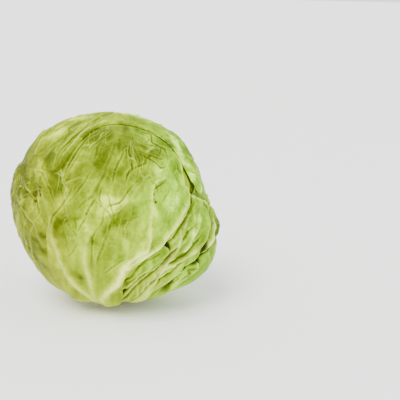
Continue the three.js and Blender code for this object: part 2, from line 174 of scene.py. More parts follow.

# Ribs and creases that are placed one by one: the width and the height at the start of a line, the share of
# both that is left at its end, and its points as azimuth and latitude. A negative height is a crease
TORN_EDGE = (1.2, -3.0, 0.9, (56, -37), (60, -32), (58, -29), (63, -26.5), (64, -23))
LINES = {
    "leaf_front": [
        (4.6, 3.0, 0.75, (-8, -68), (-6, -54), (0, -43), (7, -34), (9, -25), (13, -19), (19, -14), (23, -12)),
        (2.4, 2.4, 0.6, (19, -14), (23, -12), (24, -4), (24, 4), (25, 17), (27, 26)),
        (2.6, 3.6, 0.6, (12, -23), (22, -15), (30, -10), (35, -3), (41, 3), (45, 7), (50, 12), (53, 17)),
        (5.5, 2.0, 0.3, (-15, -68), (-17, -54), (-27, -40), (-31, -21), (-33, -7), (-34, 5), (-37, 14)),
        (4.6, 1.8, 0.35, (-12, -68), (-13, -55), (-14, -30), (-15, -19), (-14, -9), (-10, 0), (-6, 4)),
        (2.2, 0.8, 0.4, (-10, -66), (-10, -53), (-8, -19), (-4, 2), (-1, 7)),
        (1.1, -1.6, 0.7, (-9, -32), (0, -25), (7, -20), (19, -9)),
        (1.2, -1.1, 0.5, (-8, -22), (-4, -10), (-1, -1), (2, 7), (5, 15)),
        (3.0, 1.2, 0.6, (5, 15), (13, 20), (23, 29)),
        (1.2, -0.7, 0.5, (6, 3), (10, 7), (15, 7)),
        (1.3, -1.0, 0.6, (-16, 14), (-9, 20), (-3, 31), (4, 47), (11, 62)),
        (1.5, 3.2, 0.6, (25, 18), (27, 25), (30, 27), (37, 28), (44, 29)),
        (1.0, -1.6, 0.5, (27, 23), (31, 25), (37, 26)),
        (1.1, -1.8, 0.7, (17, 50), (15, 40), (15, 35), (12, 32), (10, 28)),
        (1.6, 1.4, 0.6, (20, 52), (18, 42), (18, 36)),
        (1.2, -1.4, 0.7, (44, 36), (48, 44), (40, 50), (46, 56), (34, 60)),
        (1.4, 1.4, 0.6, (30, 44), (38, 47), (36, 55), (26, 62)),
        (2.2, 0.7, 0.5, (-37, 14), (-50, 28), (-60, 38)),
        (1.2, -0.7, 0.5, (-14, -9), (-22, 4), (-28, 22), (-30, 40)),
        (2.0, 1.6, 0.7, (-44, 12), (-54, 20), (-64, 24)),
        (0.9, -1.2, 0.6, (-30, -24), (-22, -13), (-18, -6), (-12, 0)),
        (1.0, -1.3, 0.5, (-12, -28), (-10, -14), (-9, -3), (-3, 8), (-2, 14)),
        (0.9, -1.4, 0.7, (-2, 14), (6, 17), (12, 24), (20, 30)),
        (1.4, 1.3, 0.6, (-3, 10), (6, 13), (13, 20), (19, 25)),
        (0.9, -1.0, 0.6, (-24, 14), (-18, 22), (-13, 31), (-8, 38)),
        (0.9, -1.0, 0.6, (-13, 31), (-9, 44), (-6, 54), (-8, 64)),
        (0.8, -0.8, 0.6, (-9, 44), (2, 50), (9, 60)),
        (0.9, -0.9, 0.6, (-33, 20), (-28, 30), (-22, 42), (-20, 54)),
        (0.8, -0.9, 0.5, (4, 6), (0, 12), (-6, 17), (-14, 20)),
        (0.8, -0.8, 0.5, (9, 7), (17, 9), (22, 14)),
        (0.9, -1.2, 0.6, (17, 30), (22, 40), (20, 50), (28, 60)),
        (0.9, -1.4, 0.6, (24, 38), (32, 42), (38, 39), (46, 40)),
        (0.8, -1.2, 0.6, (34, 45), (40, 42), (46, 46), (52, 42)),
        (0.9, -1.0, 0.6, (30, 50), (38, 52), (42, 58)),
        (1.2, 1.1, 0.6, (33, 32), (40, 33), (47, 38), (54, 38)),
        (0.9, -0.9, 0.5, (30, 14), (36, 20), (41, 27)),
        (1.2, -1.6, 0.7, (-46, 20), (-42, 10), (-41, -4), (-44, -16)),
        (1.0, -2.2, 0.8, (-75, 26), (-62, 20), (-50, 10), (-42, -2), (-40, -12)),
        (0.9, -2.4, 0.8, (2, 66), (-14, 60), (-21, 52), (-25, 44), (-28, 34), (-29, 28)),
        (0.9, -1.4, 0.6, (-22, -8), (-14, 6), (-8, 18), (-4, 30), (4, 42)),
        (1.0, -1.2, 0.6, (-36, -6), (-32, 8), (-24, 18), (-20, 28)),
        (0.9, -1.2, 0.6, (0, 22), (4, 33), (10, 44), (12, 56)),
        (0.9, -1.3, 0.7, (-18, 40), (-12, 50), (-2, 58), (10, 66)),
        (0.9, -1.7, 0.7, (22, 44), (30, 40), (36, 34), (44, 33)),
        (0.9, -1.6, 0.7, (26, 56), (32, 50), (40, 47), (48, 49)),
        (0.9, -1.4, 0.7, (12, 32), (18, 36), (26, 38), (32, 44)),
        (1.0, 1.0, 0.6, (-26, 26), (-18, 30), (-10, 28), (-2, 30)),
        (1.1, 1.0, 0.6, (-38, 34), (-30, 38), (-20, 38), (-10, 42)),
        (0.9, -1.4, 0.6, (-58, 30), (-46, 30), (-36, 22), (-30, 12)),
    ],
    "leaf_over_crown": [
        (1.4, 0.9, 0.5, (-32, 81), (-51, 73), (-68, 51), (-74, 35)),
        (1.1, 2.6, 0.8, (-4, 73), (-21, 66), (-28, 57), (-32, 47), (-34, 37)),
        (0.9, -1.6, 0.8, (-8, 76), (-27, 69), (-33, 58), (-37, 47), (-38, 38)),
        (1.1, -1.0, 0.8, (-28, 79), (-32, 68), (-31, 54), (-36, 41)),
        (1.2, 0.8, 0.5, (-40, 82), (-55, 75), (-54, 63), (-60, 50), (-66, 39)),
        (1.2, -0.8, 0.5, (-30, 76), (-48, 50), (-53, 41), (-63, 31)),
        (0.9, -0.9, 0.6, (-44, 72), (-44, 58), (-50, 44), (-56, 34)),
        (1.0, -0.8, 0.6, (-62, 70), (-66, 58), (-74, 46), (-82, 36)),
        (1.6, 0.9, 0.5, (-36, 62), (-38, 50), (-44, 38)),
        (0.9, -1.0, 0.6, (46, 62), (56, 54), (62, 44), (60, 34)),
        (1.4, 1.0, 0.6, (60, 66), (70, 54), (74, 40), (72, 26)),
        (1.2, 1.2, 0.6, (44, 66), (52, 60), (56, 50), (64, 42)),
    ],
    "leaf_right_mid": [
        (2.6, 4.4, 0.5, (30, -72), (36, -54), (35, -34), (40, -22), (44, -14), (46, -7), (50, 2), (60, 8)),
        (1.4, -2.8, 0.8, (24, -66), (29, -56), (32, -44), (36, -30)),
        (1.3, -2.4, 0.7, (40, -50), (40, -36), (46, -24), (52, -20)),
        (1.4, 2.4, 0.6, (50, -16), (56, -8), (62, -2), (66, 4)),
        (2.0, -2.8, 0.7, (42, -24), (50, -19), (57, -13), (62, -9)),
        (1.8, 2.0, 0.7, (40, -27), (48, -22), (56, -17), (64, -12)),
        (1.8, -1.8, 0.6, (46, -12), (52, -5), (62, 0)),
        (1.6, -3.0, 0.8, (35, -13), (41, -7), (47, 0), (53, 6), (58, 11)),
        (1.7, -3.4, 0.9, (12, -66), (14, -58), (20, -44), (28, -33), (38, -23), (42, -17), (44, -13)),
    ],
    "leaf_front_under": [
        (2.0, 2.6, 0.6, (4, -60), (13, -44), (25, -29), (35, -19)),
        (1.6, -2.6, 0.7, (13, -28), (22, -21), (32, -16)),
        (1.6, -1.4, 0.6, (2, -56), (14, -36), (24, -26)),
        (1.4, -2.2, 0.7, (0, -62), (10, -38), (20, -24), (30, -17)),
    ],
    "leaf_right_lobe": [
        (2.6, 3.4, 0.5, (50, -30), (62, -18), (72, -13), (80, -6), (86, 2)),
        (2.0, -2.4, 0.7, (56, -26), (68, -20), (80, -16)),
        (2.0, -2.0, 0.6, (58, -8), (66, -4), (76, 2)),
        (1.3, -2.4, 0.7, (62, -26), (74, -18), (84, -10)),
    ],
    "leaf_right_low": [
        (2.6, 3.0, 0.5, (40, -70), (46, -44), (50, -30), (56, -23)),
        (1.8, -2.4, 0.6, (44, -62), (50, -44), (54, -34)),
        (1.4, -2.8, 0.8, (36, -64), (40, -56), (44, -44), (50, -36)),
        TORN_EDGE,
    ],
    "leaf_right_outer": [
        TORN_EDGE,
        (1.2, -2.4, 0.8, (44, -54), (52, -44), (58, -38)),
    ],
    "leaf_left": [
        (1.2, -2.0, 0.7, (-80, -4), (-68, -8), (-58, -19), (-46, -22)),
        (1.3, 1.4, 0.6, (-64, 14), (-56, 6), (-47, 0), (-43, -11)),
        (1.2, -2.0, 0.7, (-74, 8), (-62, -4), (-52, -14), (-46, -26)),
        (1.2, -1.8, 0.7, (-70, -22), (-60, -28), (-52, -36)),
        (1.3, 1.6, 0.7, (-84, -14), (-72, -18), (-64, -30)),
        (1.0, -1.6, 0.7, (-60, -2), (-54, -12), (-50, -30)),
    ],
}

# Places that are greener, or paler where the last value is negative: azimuth, latitude, how far they
# reach and how much
PATCHES = [
    (-40, 25, 9, 0.7), (-32, 32, 8, 0.6), (-22, 28, 9, 0.7), (-6, 21, 8, 0.3), (9, 35, 8, 0.3),
    (3, 34, 7, 0.15), (20, 50, 9, 0.4), (22, 44, 6, 0.4), (28, 41, 6, 0.35), (51, 48, 6, 0.65),
    (39, 45, 6, 0.65), (49, 30, 6, 0.4), (33, 23, 6, 0.35), (4, 7, 7, 0.65), (2, 0, 6, 0.4),
    (9, 7, 5, 0.3), (-26, 5, 7, 0.45), (-26, -3, 7, 0.3), (-30, 1, 6, 0.3), (-16, -32, 5, 0.6),
    (-14, 59, 8, 0.45), (-4, 62, 9, 0.5), (20, 67, 8, 0.5), (35, 61, 6, 0.4), (-57, 24, 9, 0.7),
    (-65, 24, 8, 0.3), (-43, -5, 4, 0.6), (-48, -14, 6, 0.5), (-57, -26, 5, 0.4), (-74, -18, 5, 0.4),
    (-54, 2, 4, 0.3), (-42, 47, 8, -0.2), (-44, 39, 7, 0.35), (-3, 47, 10, 0.25), (-13, 31, 6, 0.3),
    (-6, 37, 6, 0.35), (20, 30, 6, 0.15), (15, 23, 6, 0.3), (86, -4, 8, 0.4), (80, -30, 8, 0.4),
    (60, -24, 5, 0.4), (-47, 32, 7, -0.4), (-17, 44, 5, -0.35), (-13, 52, 4, -0.3), (-21, 36, 5, -0.3),
    (2, 21, 6, -0.5), (-2, 17, 6, -0.5), (-6, 14, 5, -0.3), (-26, 20, 6, -0.35), (30, 31, 6, -0.4),
    (30, 37, 6, -0.4), (44, 36, 6, -0.3), (39, 17, 6, -0.35), (12, 20, 5, -0.35), (-16, 6, 6, -0.3),
    (-9, 10, 5, -0.3), (-39, -12, 6, -0.3), (-37, -23, 6, -0.3), (-29, 14, 5, -0.3), (-60, 50, 9, -0.45),
    (-62, 60, 9, -0.5), (-80, 74, 10, -0.6), (180, 80, 12, -0.6), (120, 76, 11, -0.6), (95, 66, 9, -0.6),
    (70, 52, 7, -0.6), (66, 36, 6, -0.45), (62, 26, 6, -0.5), (70, 16, 6, -0.4), (66, 44, 7, -0.4),
    (78, 24, 8, -0.3), (-30, 42, 6, 0.4), (-34, 22, 6, 0.35), (10, 50, 6, 0.35), (30, 52, 5, 0.35),
    (46, 40, 5, 0.35), (56, -8, 6, -0.5), (63, -2, 6, -0.5), (52, -20, 5, -0.3), (56, 17, 5, -0.6),
    (84, -6, 6, 0.4), (-8, 42, 5, 0.3), (12, 12, 5, 0.35), (14, 4, 4, 0.3), (-12, -4, 5, 0.3),
    (26, 8, 4, -0.4), (8, 43, 5, -0.3), (-60, 12, 8, 0.4), (-70, 2, 8, 0.4), (-60, -8, 7, 0.4),
    (-52, -20, 5, 0.4), (-68, -34, 7, 0.3), (-76, 14, 9, 0.4), (-64, 34, 8, 0.3),
]

# Dry brown marks on leaf_front: azimuth, latitude and size
BROWN_SPOTS = [
    (-46, 18, 4.2), (-43, 21, 3.0), (-45, 14, 2.8), (-42, 18, 2.2), (-42, 10, 1.8), (-41, 6, 1.9),
    (-41, 3, 1.3), (-41, 0, 1.1), (26, 20, 1.7), (27, 16, 1.4),
]

# Leaf colours from the waxy veil to the deepest green, as the shares of red, green and blue light that
# they give back
GREENS = [
    (0.58, 0.78, 0.05), (0.31, 0.45, 0.004), (0.19, 0.28, 0.001), (0.12, 0.178, 0.001), (0.06, 0.09, 0.001),
]
# Painted shade for the creases
CREASE_SHADE_COLOUR = (0.038, 0.058, 0.001)
# Painted shade for the lee just outside the raised edges of the leaves above
LEE_SHADE_COLOUR = (0.018, 0.030, 0.002)
RIB = (0.92, 1.0, 0.27)
FOOT = (0.66, 0.74, 0.20)
BROWN = (0.045, 0.026, 0.006)
# What the left side and the foot, and the right side, do to those colours: painted shade makes the left side
# darker and warmer, the foot is warmer, and painted light makes the right side lighter and cooler
SHADE_AND_FOOT_TINT = (1.0, 0.82, 0.9)
LIT_SIDE_TINT = (0.95, 1.26, 1.8)
# How much of a colour its mark gets at most
MIX = {
    "net": 0.2, "rib": 0.9, "fine": 0.08, "bank_highlight_amount": 0.3, "crease": 0.95, "foot": 0.7, "edge": 0.8,
    "lee": 0.9, "inner_face": 0.35,
}
# Colours are mixed as the eye sees them, which is about this power of their light
TONE = 0.45

# The key light shines to the back, the right and down. Places and sizes in the studio are in metres
KEY = {"energy": 4.6, "angle": math.radians(35), "color": (1.0, 0.985, 0.95)}
KEY_TOWARDS = (0.42, 0.62, -1.0)
FILL = {"shape": "DISK", "size": 1.0, "energy": 6, "color": (0.95, 0.98, 1.0)}
FILL_PLACE = (1.2, -0.9, 0.8)
WORLD_LIGHT = 1.7
FLOOR = {"half": 12.0, "colour": (0.9, 0.9, 0.9), "roughness": 0.9}

# The camera stands in front of the head's middle, metres away and degrees above it, and is turned so
# that the head's middle lands at HEAD_AT, counted in pixels from the upper left corner. FRAME_SIZE is
# the picture's width and height in pixels
CAMERA = {"distance": 0.88, "elevation": 14, "lens": 85, "sensor": 36}
FRAME_SIZE = 400
HEAD_AT = (108.5, 208.7)


def direction(azimuth, latitude):
    """Unit vectors of azimuths and latitudes in degrees."""
    turn, up = np.radians(azimuth), np.radians(latitude)
    return np.stack([np.sin(turn) * np.cos(up), -np.cos(turn) * np.cos(up), np.sin(up)], axis=-1)


def smooth(x, low, high):
    """From 0 to 1 without a corner, as x goes from low to high."""
    t = np.clip((x - low) / (high - low), 0, 1)
    return t * t * t * (t * (6 * t - 15) + 10)


def through(values, t):
    """A smooth curve through evenly spaced values."""
    v = np.asarray(values, float)
    last = len(v) - 1
    i = np.minimum(last - 1, np.floor(t * last)).astype(int)
    f = t * last - i
    before, here, there, after = (v[np.clip(i + n, 0, last)] for n in (-1, 0, 1, 2))
    fall, rise = (there - before) / 2, (after - here) / 2
    curve = f * f * (3 - 2 * f)
    return here * (1 - curve) + there * curve + fall * f * (1 - f) ** 2 - rise * f * f * (1 - f)


def latitude_of(d):
    """Latitudes of directions in degrees."""
    return np.degrees(np.arcsin(np.clip(d[..., 2], -1, 1)))


def spread(q):
    """Moves directions away from the stem, most near the foot of the head."""
    from_stem = np.degrees(np.arccos(np.clip(-q[..., 2], -1, 1)))
    moved = np.radians(np.hypot(from_stem, CLASP * (1 - from_stem / 180)))
    flat = np.maximum(np.hypot(q[..., 0], q[..., 1]), 1e-9)
    out = np.sin(moved) / flat
    return np.stack([q[..., 0] * out, q[..., 1] * out, -np.cos(moved)], axis=-1)


def outside_radius(d):
    """Distance from the head's middle to the finished outside."""
    r = through(PROFILE, (latitude_of(d) + 90) / 180)
    peak = direction(BULGE["azimuth"], BULGE["latitude"])
    away = np.degrees(np.arccos(np.clip(d @ peak, -1, 1)))
    r = r + BULGE["height"] * np.exp(-((away / BULGE["spread"]) ** 2))
    from_foot = 90 + latitude_of(d)
    return r - DIMPLE["depth"] * np.exp(-((from_foot / DIMPLE["spread"]) ** 2))


def set_up(leaf):
    """A leaf's own directions: along its midrib from the base, and across it to the right."""
    start, heading = direction(*leaf["base"]), direction(*leaf["heading"])
    along = heading - heading.dot(start) * start
    along /= np.linalg.norm(along)
    span = math.radians(leaf["length"])
    leaf.update({**USUAL, **leaf}, start=start, along=along, across=np.cross(along, start), span=span)


def half_width(leaf, u, right):
    """Half width of a blade in radians at shares u of its length."""
    t = np.clip(u, 0, 1)
    body = np.where(right, through(leaf["right"], t), through(leaf["left"], t))
    body = body * np.sqrt(1 - t ** leaf["blunt"])
    side = np.where(right, 1, -1)
    waves = 1 + leaf["wave"] * np.sin(31 * t + 2 * side) * smooth(t, 0.15, 0.4)
    return np.radians(np.hypot(body * waves, 1.5))


def place_in(leaf, q):
    """Where directions lie in a leaf: share of its length, place across, how many millimetres inside
    the outline, and the same with the base end moved back."""
    a = np.arctan2(q @ leaf["along"], q @ leaf["start"])
    span = leaf["span"]
    a = np.where(a < span / 2 - math.pi, a + 2 * math.pi, a)
    b = np.arcsin(np.clip(q @ leaf["across"], -1, 1))
    u = a / span
    right = b >= 0
    half = half_width(leaf, u, right)
    step = 0.01
    slope = half_width(leaf, u + step, right) - half_width(leaf, u - step, right)
    slope = np.minimum(np.abs(slope / (2 * step * span)), 3)
    sideways = (half - np.abs(b)) / np.hypot(1, slope)
    lengthways = np.minimum(a, span - a)
    outside = (lengthways < 0) & (sideways < 0)
    inside = np.where(outside, -np.hypot(lengthways, sideways), np.minimum(sideways, lengthways))
    bedded = np.minimum(np.minimum(sideways, span - a), a + math.radians(BEHIND_BASE))
    return u, b / half, inside * MEAN_RADIUS, bedded * MEAN_RADIUS


def chart_direction(leaf, a, b):
    """Directions at angles a along and b across a leaf."""
    ahead = np.cos(a)[..., None] * leaf["start"] + np.sin(a)[..., None] * leaf["along"]
    return np.cos(b)[..., None] * ahead + np.sin(b)[..., None] * leaf["across"]


def hashed(i, j, k, seed):
    """Even random numbers from 0 to 1 for whole-number places. The large odd numbers only mix bits."""
    n = (i * 374761393 + j * 668265263 + k * 1274126177 + seed * 974711) & 0xFFFFFFFF
    n = ((n ^ (n >> 13)) * 1103515245) & 0xFFFFFFFF
    n = ((n ^ (n >> 16)) * 2654435761) & 0xFFFFFFFF
    return ((n ^ (n >> 15)) & 0xFFFFFF) / 0xFFFFFF


def noise(p, size, seed):
    """Smooth noise from -1 to 1 with bumps about size apart."""
    x = p / size
    cell = np.floor(x).astype(np.int64)
    f = x - cell
    f = f * f * (3 - 2 * f)
    total = 0
    for i in (0, 1):
        for j in (0, 1):
            for k in (0, 1):
                weight = np.abs(1 - i - f[..., 0]) * np.abs(1 - j - f[..., 1]) * np.abs(1 - k - f[..., 2])
                total = total + weight * hashed(cell[..., 0] + i, cell[..., 1] + j, cell[..., 2] + k, seed)
    return 2 * total - 1


def rough_noise(p, size, seed):
    """Noise from -1 to 1 in three sizes, each half as large and half as strong as the one before."""
    total = 0
    for n in range(3):
        total = total + 0.5**n * noise(p, size * 0.5**n, seed + 17 * n)
    return total / 1.75


def cells(p, size, seed):
    """How far the borders of random cells about size across are away: the difference between the
    distances to the nearest two cell middles."""
    x = p / size
    cell = np.floor(x).astype(np.int64)
    far = 9.0
    near = np.full(x.shape[:-1], far)
    second = near.copy()
    for i in (-1, 0, 1):
        for j in (-1, 0, 1):
            for k in (-1, 0, 1):
                c = cell + np.array([i, j, k])
                middle = np.stack(
                    [c[..., n] + hashed(c[..., 0], c[..., 1], c[..., 2], seed + n) for n in range(3)],
                    axis=-1,
                )
                away = np.linalg.norm(middle - x, axis=-1)
                second = np.where(away < near, near, np.minimum(second, away))
                near = np.minimum(near, away)
    return (second - near) * size


def segments(p, width, height, left_over):
    """The straight pieces of a line through directions p, which thins out to its end: for each piece its
    two ends, the widths there and the heights there."""
    n = len(p) - 1
    share = 1 - (1 - left_over) * np.arange(n + 1) / n
    share[-1] *= TAPERED
    if height < 0:
        share[0] *= TAPERED
    widths, heights = width * share, height * share
    return [(p[i], p[i + 1], widths[i:i + 2], heights[i:i + 2]) for i in range(n)]


def relief(d, pieces):
    """Height of ribs and depth of creases at directions d, and how much shows there of the pale ribs, of
    the painted shade in the creases and of the painted highlight on the banks beside creases."""
    high, low, shown, creased, beside = np.zeros((5, len(d)))
    for a, b, widths, heights in pieces:
        line = b - a
        near = (d @ ((a + b) / np.linalg.norm(a + b))) > math.cos(np.linalg.norm(line) / 2 + LINE_REACH)
        if not near.any():
            continue
        q = d[near]
        t = np.clip((q - a) @ line / max(line @ line, 1e-12), 0, 1)
        away = np.linalg.norm(q - a - t[:, None] * line, axis=1) * MEAN_RADIUS
        width = widths[0] + (widths[1] - widths[0]) * t
        height = heights[0] + (heights[1] - heights[0]) * t
        bump = height * np.exp(-((away / width) ** 2))
        high[near] = np.maximum(high[near], bump)
        low[near] = np.minimum(low[near], bump)
        strength = np.clip(np.where(height > 0, height / BOLD_RIB, height / -BOLD_CREASE), 0.15, 1)
        soft = strength * np.exp(-((away / (0.75 * width + 0.2)) ** 2))
        shown[near] = np.maximum(shown[near], np.where(height > 0, soft, 0))
        creased[near] = np.maximum(creased[near], np.where(height < 0, soft, 0))
        # Painted highlight on the banks beside a crease, so that it looks embossed
        bank_highlight_amount = strength * np.exp(-(((away - 1.7 * width - 0.3) / (0.5 * width + 0.3)) ** 2))
        beside[near] = np.maximum(beside[near], np.where(height < 0, bank_highlight_amount, 0))
    return high + low, shown, creased, beside


def grown_vein(leaf, start, side, rng):
    """A side vein from its start on the midrib towards the edge, as angles along and across a leaf."""
    span = leaf["span"]
    a, b = start + rng.uniform(-0.02, 0.02) + side * 0.03, 0.0
    turn = 0.35 + 0.5 * start / span + rng.uniform(-0.06, 0.06)
    line = [(a, b)]
    for _ in range(60):
        a += VEIN_STEP * math.cos(turn)
        b += side * VEIN_STEP * math.sin(turn) / max(math.cos(b), 0.4)
        turn += rng.normal(0, 0.035) + 0.004
        edge = half_width(leaf, np.array(a / span), np.array(side > 0))
        if abs(b) > 0.95 * edge or a > 0.97 * span:
            break
        line.append((a, b))
    return line


def veins(leaf, rng):
    """The pieces of a midrib and its side veins, which are thinner further up."""
    if not leaf["fan"]:
        return []
    span = leaf["span"]
    u = np.linspace(0.0, 0.93, 24)
    wander = 0.02 * np.sin(7 * u + rng.uniform(0, 6)) * smooth(u, 0.1, 0.5)
    found = segments(spread(chart_direction(leaf, u * span, wander)), 4.6, 3.2, 0.16)
    for start in np.arange(0.06 * span, 0.86 * span, math.radians(leaf["fan"])):
        share = 1 - 0.75 * start / span
        for side in (-1, 1):
            line = grown_vein(leaf, start, side, rng)
            if len(line) > 3:
                p = spread(chart_direction(leaf, *np.array(line).T))
                found += segments(p, 1.1 + 1.5 * share, 0.5 + 1.3 * share, 0.25)
    return found


def by_side(leaf, name, v):
    """A leaf's value for its left or right half."""
    left, right = leaf[name]
    return np.where(v < 0, left, right)


def wobble(p, size, seed):
    """Three noises at once, to bend patterns with."""
    return np.stack([noise(p, size, seed + n) for n in range(3)], axis=-1)


def curl(leaf, u, v, inside, p, seed):
    """How far a free edge stands away, in waves along it."""
    waves = 0.62 + 0.38 * np.sin(23 * u + 3 * v) + 0.35 * noise(p, 9, seed)
    along_edge = smooth(u, 0.12, 0.4) * np.exp(-((inside / CURL_REACH) ** 2))
    return by_side(leaf, "flare", v) * waves * along_edge


def leaf_grid(leaf, seed):
    """Shares of the length and places across for the points of a blade, and its half width there. Rows
    are a little closer near the tip, and the uneven edge goes with the leaf."""
    widest = math.radians(max(leaf["left"] + leaf["right"]))
    rows = 2 * int(leaf["span"] * MEAN_RADIUS / leaf["grid"] / 2)
    columns = 2 * int(widest * MEAN_RADIUS / leaf["grid"])
    t = np.linspace(0, 1, rows + 1)
    u = 0.999 * (0.8 * t + 0.2 * np.sin(math.pi / 2 * t))
    v = np.linspace(-1, 1, columns + 1)
    u, v = np.meshgrid(u, v, indexing="ij")
    half = half_width(leaf, u, v >= 0)
    ragged = rough_noise(direction(u * 300, v * 60) * 60, 18, seed)
    half = half * (1 - leaf["torn"] * np.abs(ragged) * np.abs(v) ** 6)
    return u.ravel(), v.ravel(), half.ravel(), (rows + 1, columns + 1)


def room_for(leaf, bedded):
    """How far in the head stays to make room for a leaf."""
    soft = leaf.get("bedding", BEDDING)
    return (SHEET + AIR) * smooth(bedded, -soft, soft)


def ditch(depth, inside):
    """The ditch just outside the edge of a leaf, in what is below it."""
    return depth * np.exp(-(((inside + 1) / DITCH_REACH) ** 2))


def layered(k, q, d):
    """How leaf number k lies at directions q, which are spread to d: how far out its bed is, what the
    leaves below add, how open it lies from 0 to 1, how much painted shade the lee of the edges above it
    gets, and how far inside its own edge each place is."""
    bed, below = outside_radius(d) - AIR, 0.0
    open_air, lee = 1.0, np.zeros(len(d))
    for j, other in enumerate(LEAVES):
        place, side, inside, bedded = place_in(other, q)
        bed = bed - room_for(other, bedded)
        if j < k:
            below = below + (SHEET + AIR) * smooth(inside, -EDGE_CLEAR - DRAPE, -EDGE_CLEAR)
        elif j > k:
            open_air = open_air * (1 - smooth(inside, -0.5 - FADE, -0.5))
            depth = by_side(other, "ditch", side) * smooth(place, 0.15, 0.45)
            bed = bed - ditch(depth, inside)
            # A raised edge hides what is close outside it, so the painted shade in its lee starts beyond that
            hidden = 0.4 + 0.8 * by_side(other, "flare", side)
            shade = depth / 2.4 * smooth(place, 0.2, 0.5) * (1 - smooth(place, 0.82, 0.95))
            lee = np.maximum(lee, shade * smooth(inside, -hidden - LEE_SHADE_REACH, -hidden))
        else:
            own_inside = inside
    return bed, below, open_air, lee, own_inside


def placed_lines(leaf):
    """The pieces of the ribs and creases that are listed for a leaf."""
    found = []
    for width, height, left_over, *points in LINES.get(leaf["name"], []):
        found += segments(direction(*np.array(points, float).T), width, height, left_over)
    return found


def skin_patterns(leaf, u, v, half, p, seed):
    """How high the blisters and streaks of a leaf stand, and what its colours need to know of them."""
    upper = smooth(u, 0.25, 0.6)
    across, along = v * half * MEAN_RADIUS, u * leaf["span"] * MEAN_RADIUS
    drawn_out = np.stack([across, along / 7, 0 * u], axis=-1)
    streaks = noise(drawn_out + 0.8 * wobble(p, 14, seed + 50), 3.2, seed + 3)
    net = cells(p * [1, 1, 0.7] + 5 * wobble(p, 14, seed), 17, seed + 5)
    fine = cells(p, 5.5, seed + 9)
    stroke_place = np.stack([across, along / 3, 0 * u + seed], axis=-1)
    stroke_place = stroke_place + 2.5 * wobble(p, 16, seed + 55) + wobble(p, 5, seed + 58)
    bumps = 0.8 * upper * (smooth(net, 0, 6) - 0.5) + 1.1 * rough_noise(p, 26, seed + 2)
    bumps = bumps + 0.16 * upper * smooth(fine, 0, 2.2)
    bumps = bumps + 0.35 * leaf["grain"] * streaks * smooth(u, 0.02, 0.2)
    bumps = bumps + 0.35 * leaf["grain"] * noise(drawn_out, 8, seed + 4)
    facts = {
        "net": net, "fine": fine, "streaks": (0.04 + 0.14 * leaf["grain"]) * streaks,
        "stroke_place": stroke_place / STROKE_SIZE,
    }
    return bumps, facts


def laid_out(k):
    """The outer and inner points of leaf number k, the shape of their grid, and what its colours need to
    know."""
    leaf = LEAVES[k]
    seed = 100 * (k + 1)
    u, v, half, shape = leaf_grid(leaf, seed)
    q = chart_direction(leaf, u * leaf["span"], v * half)
    d = spread(q)
    p = d * MEAN_RADIUS
    bed, below, open_air, lee, inside = layered(k, q, d)

    lines = veins(leaf, np.random.default_rng(seed)) + placed_lines(leaf)
    bent = d + (0.8 * wobble(p, 10, seed + 40) + 0.4 * wobble(p, 3.5, seed + 45)) / MEAN_RADIUS
    ribs, shown, creased, beside = relief(bent, lines)
    grown = smooth(latitude_of(d), -76, -34)
    ribs, shown = ribs * (0.1 + 0.9 * grown), shown * (0.3 + 0.7 * grown)
    bumps, facts = skin_patterns(leaf, u, v, half, p, seed)

    hold = leaf.get("clings", False) * (1 - smooth(inside, 0, HELD))
    lift = curl(leaf, u, v, inside, p, seed) * (1 - hold)
    sheet = SHEET * (0.45 + 0.55 * smooth(inside, 0, THINNED)) * (1 - 0.6 * hold)
    start = bed + below + AIR * (1 - 0.9 * hold)
    low = start + (0.6 * bumps + lift) * open_air * (1 - hold)
    high = start + sheet + (ribs + bumps * (1 - 0.7 * hold) + lift) * open_air
    high = np.maximum(high, low + 0.5 * sheet)
    ground = np.where(d[:, 2] < 0, (CENTRE_HEIGHT - FLOOR_CLEAR) / np.maximum(-d[:, 2], 1e-6), 1e9)
    high = np.minimum(high, ground)
    low = np.minimum(low, high - 0.5 * sheet)
    facts.update(u=u, v=v, d=d, p=p, seed=seed, inside=inside, lee=lee)
    facts.update(shown=shown, creased=creased, beside=beside)
    return d * high[:, None], d * low[:, None], shape, facts


def toned(colour):
    """A colour as a tone, which is what is mixed."""
    return np.asarray(colour, float) ** TONE


def blended(tones, colour, amount):
    """Tones with so much of a colour mixed over them."""
    amount = np.clip(amount, 0, 1)[:, None]
    return tones * (1 - amount) + toned(colour) * amount


def mottling(facts):
    """How green the points of a leaf are, from 0 for the waxy veil to 1 for the deepest green."""
    d, p = facts["d"], facts["p"]
    latitude = latitude_of(d)
    bent = p + 8 * wobble(p, 17, 60) + 2.4 * wobble(p, 5, 70)
    wide = 0.6 * np.tanh(2.2 * rough_noise(bent, 36, 31))
    patch = 0.55 * np.tanh(2.6 * rough_noise(bent, 14, 37))
    calm = 0.4 + 0.6 * smooth(latitude, -38, -8)
    green = 0.42 + 0.06 * smooth(latitude, -25, 35) - 0.12 * (1 - smooth(latitude, -70, -20))
    green = green + 0.28 * smooth(-d[:, 0], 0.45, 0.95) * smooth(latitude, -70, -30)
    green = green + calm * (0.22 * wide + 0.40 * patch) - facts["streaks"]
    for azimuth, place, reach, amount in PATCHES:
        away = np.linalg.norm(bent - MEAN_RADIUS * direction(azimuth, place), axis=1) / reach
        green = green + amount * np.exp(-(away**2)) * (1.1 + 0.5 * patch)
    return green


